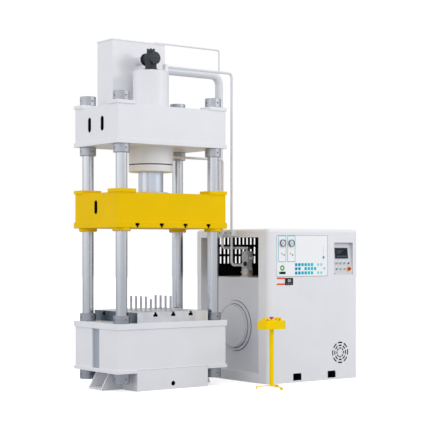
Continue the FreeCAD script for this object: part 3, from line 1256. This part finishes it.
def drive_rod(radius, y0, y1):
    """Round bar on the axis of the pump and its motor."""
    return rod(radius, (MOTOR_X, y0, MOTOR_Z), (MOTOR_X, y1, MOTOR_Z))


def make_pump_motor():
    end = MOTOR_Y + MOTOR_L
    body = drive_rod(MOTOR_R, MOTOR_Y, end)
    foot = block(MOTOR_X - MOTOR_FOOT_W / 2.0, MOTOR_X + MOTOR_FOOT_W / 2.0, MOTOR_Y + MOTOR_FOOT_INSET,
                 end - MOTOR_FOOT_INSET, BASE_H, MOTOR_Z - MOTOR_R + MOTOR_FOOT_RISE)
    box_y = MOTOR_Y + MOTOR_BOX_INSET
    box = block(MOTOR_X - MOTOR_BOX_W / 2.0, MOTOR_X + MOTOR_BOX_W / 2.0, box_y, box_y + MOTOR_BOX_L,
                MOTOR_Z + MOTOR_R - MOTOR_BOX_SINK, MOTOR_Z + MOTOR_R + MOTOR_BOX_H)
    bore = drive_rod(DRIVE_SHAFT_R + RUNNING_GAP, MOTOR_Y, MOTOR_Y + SHAFT_DEPTH + COUPLING_GAP)
    return fuse([body, foot, box]).cut(bore)


def make_pump():
    back = PUMP_Y - PUMP_L
    body = drive_rod(PUMP_R, back, PUMP_Y)
    bore = drive_rod(DRIVE_SHAFT_R + RUNNING_GAP, PUMP_Y - SHAFT_DEPTH - COUPLING_GAP, PUMP_Y)
    stand = block(MOTOR_X - PUMP_STAND_W / 2.0, MOTOR_X + PUMP_STAND_W / 2.0, back + PUMP_STAND_INSET,
                  PUMP_Y - PUMP_STAND_INSET, BASE_H, MOTOR_Z)
    reach = PUMP_R + PUMP_PORT_OUT
    middle = PUMP_Y - PUMP_L / 2.0
    ports = rod(PUMP_PORT_R, (MOTOR_X - reach, middle, MOTOR_Z), (MOTOR_X + reach, middle, MOTOR_Z))
    return fuse([body, stand, ports]).cut(bore)


def make_drive_shafts():
    """The motor's shaft and the pump's, both held in the coupling."""
    return group([drive_rod(DRIVE_SHAFT_R, MOTOR_Y - SHAFT_REACH, MOTOR_Y + SHAFT_DEPTH),
                  drive_rod(DRIVE_SHAFT_R, PUMP_Y - SHAFT_DEPTH, PUMP_Y + SHAFT_REACH)])


def make_pump_coupling():
    y1 = MOTOR_Y - COUPLING_GAP
    y0 = y1 - COUPLING_L
    middle = (y0 + y1) / 2.0
    outer = DRIVE_SHAFT_R + COUPLING_WALL
    groove = (middle - COUPLING_GROOVE_W / 2.0, middle + COUPLING_GROOVE_W / 2.0)
    band = drive_rod(outer, *groove).cut(drive_rod(outer - COUPLING_GROOVE_DEPTH, *groove))
    return drive_rod(outer, y0, y1).cut([band, drive_rod(DRIVE_SHAFT_R, y0, y1)])


def make_valve_block():
    waist_z0 = PRESSURE_PIPE_IN_Z - VALVE_WAIST_H / 2.0
    waist_z1 = PRESSURE_PIPE_IN_Z + VALVE_WAIST_H / 2.0
    y0, y1 = VALVE_BLOCK_Y0, VALVE_BLOCK_Y1
    pieces = [block(VALVE_BLOCK_X0, VALVE_BLOCK_X1, y0, y1, RESERVOIR_Z1, waist_z0),
              block(VALVE_BLOCK_X0, VALVE_BLOCK_X1, y0, y1, waist_z1, VALVE_BLOCK_Z1),
              block(VALVE_BLOCK_X0, VALVE_BLOCK_X1, y0 + VALVE_WAIST_STEP, y1 - VALVE_WAIST_STEP,
                    waist_z0, waist_z1),
              block(VALVE_BLOCK_X0 - VALVE_BASE_OUT, VALVE_BLOCK_X1 + VALVE_BASE_OUT, y0 - VALVE_BASE_OUT,
                    y1 + VALVE_BASE_OUT, RESERVOIR_Z1, RESERVOIR_Z1 + VALVE_BASE_T)]
    coil_z = VALVE_BLOCK_Z1 - VALVE_COIL_DROP
    pieces.append(rod(VALVE_COIL_R, (VALVE_BLOCK_X, y0 - VALVE_COIL_L, coil_z), (VALVE_BLOCK_X, y0, coil_z)))
    return fuse(pieces)


def make_valve_fittings():
    z = RESERVOIR_Z1 + FITTING_RISE
    fittings = []
    for side, face in ((-1, VALVE_BLOCK_Y0), (1, VALVE_BLOCK_Y1)):
        step = face + side * FITTING_NUT_L
        end = step + side * FITTING_TAIL_L
        fittings.append(fuse([rod(FITTING_NUT_R, (VALVE_BLOCK_X, face, z), (VALVE_BLOCK_X, step, z)),
                              rod(FITTING_TAIL_R, (VALVE_BLOCK_X, step, z), (VALVE_BLOCK_X, end, z))]))
    return group(fittings)


# -------------------------------------------------------------------- pedestal
def make_pedestal_stand():
    half = PED_POST / 2.0
    post = rounded_block(PEDESTAL_X - half, PEDESTAL_X + half, PEDESTAL_Y - half, PEDESTAL_Y + half,
                         PED_LEG_RISE, PED_BOX_Z, PED_POST_ROUND)
    hub = rod(PED_HUB_R, (PEDESTAL_X, PEDESTAL_Y, PED_LEG_RISE - PED_LEG_T),
              (PEDESTAL_X, PEDESTAL_Y, PED_LEG_RISE))
    knee_z = PED_LEG_RISE - PED_LEG_FALL
    toe_in = PED_LEG_REACH - PED_LEG_T
    outline = [(0.0, PED_LEG_RISE), (PED_LEG_KNEE, knee_z), (PED_LEG_REACH - PED_FOOT_STEP, PED_FOOT_RISE),
               (PED_LEG_REACH, PED_FOOT_RISE - PED_FOOT_STEP), (PED_LEG_REACH, 0.0), (toe_in, 0.0),
               (toe_in, PED_FOOT_RISE - PED_FOOT_STEP - PED_LEG_FALL), (PED_LEG_KNEE, knee_z - PED_LEG_T),
               (0.0, PED_LEG_RISE - PED_LEG_T)]
    pieces = [post, hub]
    for angle in PED_LEG_ANGLES:
        corners = [(PEDESTAL_X + r, PEDESTAL_Y - PED_LEG_W / 2.0, z) for r, z in outline]
        leg = faced(corners, (0, PED_LEG_W, 0))
        leg.rotate(Vector(PEDESTAL_X, PEDESTAL_Y, 0), Vector(0, 0, 1), angle)
        pieces.append(leg)
    return fuse(pieces)


def make_pedestal_box():
    x0, x1 = PEDESTAL_X - PED_BOX_W / 2.0, PEDESTAL_X + PED_BOX_W / 2.0
    y0, y1 = PEDESTAL_Y - PED_BOX_D / 2.0, PEDESTAL_Y + PED_BOX_D / 2.0
    lid_z = PED_TOP_Z - SHEET
    shell = eased(rounded_block(x0, x1, y0, y1, PED_BOX_Z, PED_TOP_Z, PED_BOX_ROUND), PED_BOX_EASE,
                  high=PED_TOP_Z)
    inner = block(x0 + SHEET, x1 - SHEET, y0 + SHEET, y1 - SHEET, PED_BOX_Z + SHEET, lid_z)
    pieces = [shell.cut(inner)]
    guard_y0, guard_y1 = PEDESTAL_Y - GUARD_Y / 2.0, PEDESTAL_Y + GUARD_Y / 2.0
    guard_z = PED_TOP_Z + GUARD_H
    palm_y = PEDESTAL_Y - PALM_BACK
    cutters = [rod(STOP_STEM_R + RUNNING_GAP, (PEDESTAL_X, PEDESTAL_Y, lid_z),
                   (PEDESTAL_X, PEDESTAL_Y, PED_TOP_Z))]
    for x in (PEDESTAL_X - PALM_X, PEDESTAL_X + PALM_X):
        half = GUARD_X / 2.0
        pieces.append(rounded_block(x - half, x + half, guard_y0, guard_y1, lid_z, guard_z, GUARD_ROUND))
        cutters.append(block(x - half + GUARD_WALL, x + half - GUARD_WALL, guard_y0, guard_y1 - GUARD_WALL,
                             PED_TOP_Z, guard_z))
        cutters.append(rod(PALM_STEM_R + RUNNING_GAP, (x, palm_y, lid_z), (x, palm_y, PED_TOP_Z)))
    return fuse(pieces).cut(cutters)


def make_palm_button(side):
    x, y = PEDESTAL_X + side * PALM_X, PEDESTAL_Y - PALM_BACK
    low = PED_TOP_Z + PALM_LIFT
    return mushroom(rod(PALM_R, (x, y, low), (x, y, low + PALM_H)),
                    rod(PALM_STEM_R, (x, y, PED_TOP_Z - STEM_BACK), (x, y, low)))


def make_pedestal_stop():
    place = (PEDESTAL_X, PEDESTAL_Y)
    low = PED_TOP_Z + PED_STOP_LIFT
    return mushroom(rod(PED_STOP_R, place + (low,), place + (low + PED_STOP_H,)),
                    rod(STOP_STEM_R, place + (PED_TOP_Z - STEM_BACK,), place + (low,)))


def build():
    """Every sub-part of the machine by name."""
    parts = {
        "base_frame": make_base_frame(),
        "bed": make_bed(),
        "bolster_table": make_bolster_table(),
        "crown": make_crown(),
        "slide": make_slide(),
        "guide_bushes": make_guide_bushes(),
        "columns": make_columns(),
        "crown_nuts": make_nuts([(CROWN_PAD_Z, CROWN_PAD_Z + CROWN_TOP_NUT_H),
                                 (CROWN_Z - CROWN_UNDER_NUT_H, CROWN_Z)]),
        "bed_nuts": make_nuts([(TABLE_Z, TABLE_Z + BED_TOP_NUT_H),
                               (FOOT_HEIGHT - BED_UNDER_NUT_H, FOOT_HEIGHT)]),
        "main_cylinder": make_main_cylinder(),
        "cylinder_gland": make_cylinder_gland(),
        "cylinder_head": make_cylinder_head(),
        "ram": make_ram(),
        "ejector_cylinder": make_ejector_cylinder(),
        "ejector_rod": make_ejector_rod(),
        "cushion_plate": make_cushion_plate(),
        "cushion_pins": make_cushion_pins(),
        "prefill_valve": make_prefill_valve(),
        "oil_tank": make_oil_tank(),
        "tank_lid": make_tank_lid(),
        "suction_pipe": make_suction_pipe(),
        "pressure_pipe": make_pressure_pipe(),
        "return_pipe": make_return_pipe(),
        "vent_pipe": make_vent_pipe(),
        "pipe_clamp": make_pipe_clamp(),
        "cabinet_base": make_cabinet_base(),
        "cabinet_front": make_cabinet_front(),
        "cabinet_top": make_cabinet_top(),
        "cabinet_left_frame": make_cabinet_left_frame(),
        "cabinet_right": make_cabinet_right(),
        "cabinet_rear": make_cabinet_rear(),
        "reservoir": make_reservoir(),
        "hatch_cover": make_hatch_cover(),
        "mimic_board": make_mimic_board(),
        "pressure_gauges": make_pressure_gauges(),
        "gauge_needle_left": make_gauge_needle(GAUGE_X[0]),
        "gauge_needle_right": make_gauge_needle(GAUGE_X[1]),
        "control_console": make_control_console(),
        "touch_screen": make_touch_screen(),
        "console_stop": make_console_stop(),
        "fan_unit": make_fan_unit(),
        "fan_impeller": make_fan_impeller(),
        "pump_motor": make_pump_motor(),
        "drive_shafts": make_drive_shafts(),
        "pump": make_pump(),
        "pump_coupling": make_pump_coupling(),
        "valve_block": make_valve_block(),
        "valve_fittings": make_valve_fittings(),
        "pedestal_stand": make_pedestal_stand(),
        "pedestal_box": make_pedestal_box(),
        "palm_button_left": make_palm_button(-1),
        "palm_button_right": make_palm_button(1),
        "pedestal_stop": make_pedestal_stop(),
    }
    for name, x in zip(("selector_left", "selector_middle", "selector_right"), CONTROL_X):
        parts[name] = make_selector(x, ROW_1_UP)
    parts["button_black"] = make_button(CONTROL_X[3], ROW_1_UP)
    for name, x in zip(("button_green", "button_grey_left", "button_grey_right"), CONTROL_X):
        parts[name] = make_button(x, ROW_2_UP)
    return parts


def main():
    os.makedirs("parts", exist_ok=True)
    for name, shape in build().items():
        shape.exportStep(os.path.join("parts", name + ".step"))
        valid = "" if shape.isValid() else "  NOT VALID"
        print("%-20s solids %2d  volume %8.2f l%s" % (name, len(shape.Solids), shape.Volume / 1e6, valid))


main()
